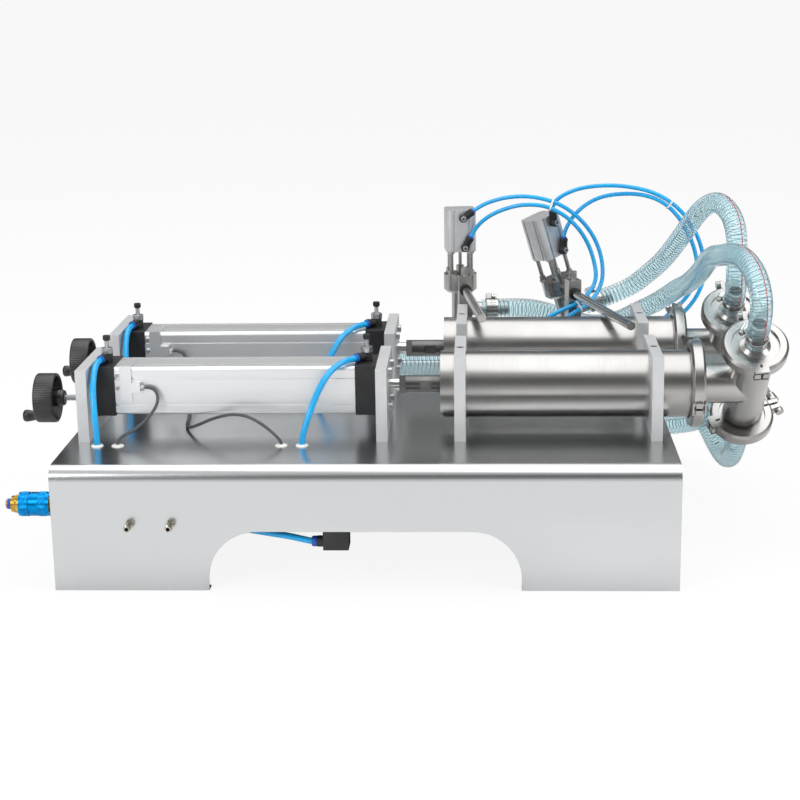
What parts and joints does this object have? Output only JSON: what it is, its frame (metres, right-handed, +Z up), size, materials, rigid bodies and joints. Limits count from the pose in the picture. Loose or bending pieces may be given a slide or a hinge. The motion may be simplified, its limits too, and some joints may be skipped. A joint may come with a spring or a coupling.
{
  "type": "liquid filling machine",
  "caption": "Bench liquid filling machine: air cylinders on a folded steel base push filling pistons, with clamped tees, clear hoses and shut-off heads on posts.",
  "frame": {"origin": "on the floor plane, under the middle of the bounding box of everything but the two free suction hoses", "axes": "+X to the right along the cylinders, from the handwheels to the tees; +Y back, towards the filling heads; +Z up"},
  "size_m": [0.9896, 0.6489, 0.4295],
  "materials": {
    "stainless_sheet": "satin",
    "white_plastic": "satin",
    "nickel": "polished",
    "brass": "satin",
    "blue_anodised": "anodised",
    "aluminium": "anodised",
    "plate_aluminium": "satin",
    "stainless": "satin",
    "polished_stainless": "polished",
    "black_paint": "satin",
    "black_plastic": "satin",
    "black_rubber": "matte",
    "fitting_plastic": "satin",
    "blue_tube": "glossy",
    "grey_cable": "matte",
    "clear_hose": "glossy"
  },
  "bodies": {
    "frame": {"base_cover": "stainless_sheet", "end_panels": "stainless_sheet", "deck_grommets": "white_plastic", "front_nipples": "nickel", "inlet_valve_body": "brass", "control_valves": "aluminium", "under_air_valve": "aluminium", "support_plates": "plate_aluminium", "plate_screws": "stainless", "drive_caps": "black_paint", "hose_clamps": "polished_stainless", "speed_controllers": "fitting_plastic", "position_sensors": "black_plastic", "sensor_cables": "grey_cable", "main_air_tubes": "blue_tube", "hose_caps": "stainless", "head_posts": "stainless", "near_drive_barrel": "aluminium", "near_fill_tube": "polished_stainless", "near_tee": "stainless", "near_clamps": "stainless", "near_outlet_hose": "clear_hose", "near_inlet_hose": "clear_hose", "far_drive_barrel": "aluminium", "far_fill_tube": "polished_stainless", "far_tee": "stainless", "far_clamps": "stainless", "far_outlet_hose": "clear_hose", "far_inlet_hose": "clear_hose", "head_1_air_tubes": "blue_tube", "head_2_air_tubes": "blue_tube"},
    "near_pistons": {"near_drive_piston": "polished_stainless", "near_fill_piston": "stainless"},
    "near_stop_pad": {"near_stop_pad": "black_rubber"},
    "near_handwheel": {"near_handwheel": "black_plastic"},
    "near_crank_knob": {"near_crank_knob": "black_plastic"},
    "near_rear_speed_knob": {"near_rear_speed_knob": "nickel"},
    "near_front_speed_knob": {"near_front_speed_knob": "nickel"},
    "near_large_wing_nut": {"near_large_wing_nut": "stainless"},
    "near_upper_wing_nut": {"near_upper_wing_nut": "stainless"},
    "near_lower_wing_nut": {"near_lower_wing_nut": "stainless"},
    "far_pistons": {"far_drive_piston": "polished_stainless", "far_fill_piston": "stainless"},
    "far_stop_pad": {"far_stop_pad": "black_rubber"},
    "far_handwheel": {"far_handwheel": "black_plastic"},
    "far_crank_knob": {"far_crank_knob": "black_plastic"},
    "far_rear_speed_knob": {"far_rear_speed_knob": "nickel"},
    "far_front_speed_knob": {"far_front_speed_knob": "nickel"},
    "far_large_wing_nut": {"far_large_wing_nut": "stainless"},
    "far_upper_wing_nut": {"far_upper_wing_nut": "stainless"},
    "far_lower_wing_nut": {"far_lower_wing_nut": "stainless"},
    "inlet_sleeve": {"inlet_sleeve": "blue_anodised"},
    "head_1": {"head_1_rod": "polished_stainless", "head_1_nozzle": "stainless", "head_1_cylinder": "aluminium"},
    "head_1_needle": {"head_1_needle": "stainless"},
    "head_2": {"head_2_rod": "polished_stainless", "head_2_nozzle": "stainless", "head_2_cylinder": "aluminium"},
    "head_2_needle": {"head_2_needle": "stainless"}
  },
  "joints": [
    {"name": "near_piston_slide", "type": "slide", "parent": "frame", "child": "near_pistons", "axis": [1, 0, 0], "range_m": [0, 0.2]},
    {"name": "near_stop_slide", "type": "slide", "parent": "frame", "child": "near_stop_pad", "axis": [1, 0, 0], "range_m": [-0.0202, 0.0202]},
    {"name": "near_handwheel_turn", "type": "hinge", "parent": "near_stop_pad", "child": "near_handwheel", "pos_m": [-0.47435, -0.1225, 0.1975], "axis": [1, 0, 0], "range_deg": [-3600, 3600]},
    {"name": "near_crank_knob_spin", "type": "hinge", "parent": "near_handwheel", "child": "near_crank_knob", "pos_m": [-0.48435, -0.1225, 0.1735], "axis": [1, 0, 0], "continuous": true},
    {"name": "near_rear_speed_knob_turn", "type": "hinge", "parent": "frame", "child": "near_rear_speed_knob", "pos_m": [-0.38035, -0.1225, 0.27], "axis": [0, 0, 1], "continuous": true},
    {"name": "near_front_speed_knob_turn", "type": "hinge", "parent": "frame", "child": "near_front_speed_knob", "pos_m": [-0.04535, -0.1225, 0.27], "axis": [0, 0, 1], "continuous": true},
    {"name": "near_large_wing_nut_turn", "type": "hinge", "parent": "frame", "child": "near_large_wing_nut", "pos_m": [0.37165, -0.06388, 0.2425], "axis": [0, -0.342, 0.9397], "continuous": true},
    {"name": "near_upper_wing_nut_turn", "type": "hinge", "parent": "frame", "child": "near_upper_wing_nut", "pos_m": [0.44058, -0.1314, 0.30263], "axis": [0.9945, 0.0801, 0.0672], "continuous": true},
    {"name": "near_lower_wing_nut_turn", "type": "hinge", "parent": "frame", "child": "near_lower_wing_nut", "pos_m": [0.48317, -0.05665, 0.17215], "axis": [-0.342, 0.7198, 0.604], "continuous": true},
    {"name": "far_piston_slide", "type": "slide", "parent": "frame", "child": "far_pistons", "axis": [1, 0, 0], "range_m": [0, 0.2]},
    {"name": "far_stop_slide", "type": "slide", "parent": "frame", "child": "far_stop_pad", "axis": [1, 0, 0], "range_m": [-0.0202, 0.0202]},
    {"name": "far_handwheel_turn", "type": "hinge", "parent": "far_stop_pad", "child": "far_handwheel", "pos_m": [-0.47435, 0.0875, 0.1975], "axis": [1, 0, 0], "range_deg": [-3600, 3600]},
    {"name": "far_crank_knob_spin", "type": "hinge", "parent": "far_handwheel", "child": "far_crank_knob", "pos_m": [-0.48435, 0.10293, 0.17911], "axis": [1, 0, 0], "continuous": true},
    {"name": "far_rear_speed_knob_turn", "type": "hinge", "parent": "frame", "child": "far_rear_speed_knob", "pos_m": [-0.38035, 0.0875, 0.27], "axis": [0, 0, 1], "continuous": true},
    {"name": "far_front_speed_knob_turn", "type": "hinge", "parent": "frame", "child": "far_front_speed_knob", "pos_m": [-0.04535, 0.0875, 0.27], "axis": [0, 0, 1], "continuous": true},
    {"name": "far_large_wing_nut_turn", "type": "hinge", "parent": "frame", "child": "far_large_wing_nut", "pos_m": [0.37165, 0.14612, 0.2425], "axis": [0, -0.342, 0.9397], "continuous": true},
    {"name": "far_upper_wing_nut_turn", "type": "hinge", "parent": "frame", "child": "far_upper_wing_nut", "pos_m": [0.44058, 0.0786, 0.30263], "axis": [0.9945, 0.0801, 0.0672], "continuous": true},
    {"name": "far_lower_wing_nut_turn", "type": "hinge", "parent": "frame", "child": "far_lower_wing_nut", "pos_m": [0.48317, 0.15335, 0.17215], "axis": [-0.342, 0.7198, 0.604], "continuous": true},
    {"name": "inlet_sleeve_slide", "type": "slide", "parent": "frame", "child": "inlet_sleeve", "axis": [1, 0, 0], "range_m": [0, 0.006]},
    {"name": "head_1_tilt", "type": "hinge", "parent": "frame", "child": "head_1", "pos_m": [0.06895, 0.28255, 0.272], "axis": [-0.1167, 0.9932, 0], "range_deg": [-30, 30], "deforming": ["near_outlet_hose", "head_1_air_tubes"]},
    {"name": "head_1_needle_lift", "type": "slide", "parent": "head_1", "child": "head_1_needle", "axis": [0, 0, 1], "range_m": [0, 0.008]},
    {"name": "head_2_tilt", "type": "hinge", "parent": "frame", "child": "head_2", "pos_m": [0.21579, 0.28054, 0.2655], "axis": [-0.2706, 0.9627, 0], "range_deg": [-17, 30], "deforming": ["far_outlet_hose", "head_2_air_tubes"]},
    {"name": "head_2_needle_lift", "type": "slide", "parent": "head_2", "child": "head_2_needle", "axis": [-0.2734, -0.0769, 0.9588], "range_m": [0, 0.008]}
  ],
  "couplings": [
    {"joint": "near_stop_slide", "follows": "near_handwheel_turn", "m_per_rad": 0.00031831},
    {"joint": "far_stop_slide", "follows": "far_handwheel_turn", "m_per_rad": 0.00031831}
  ]
}
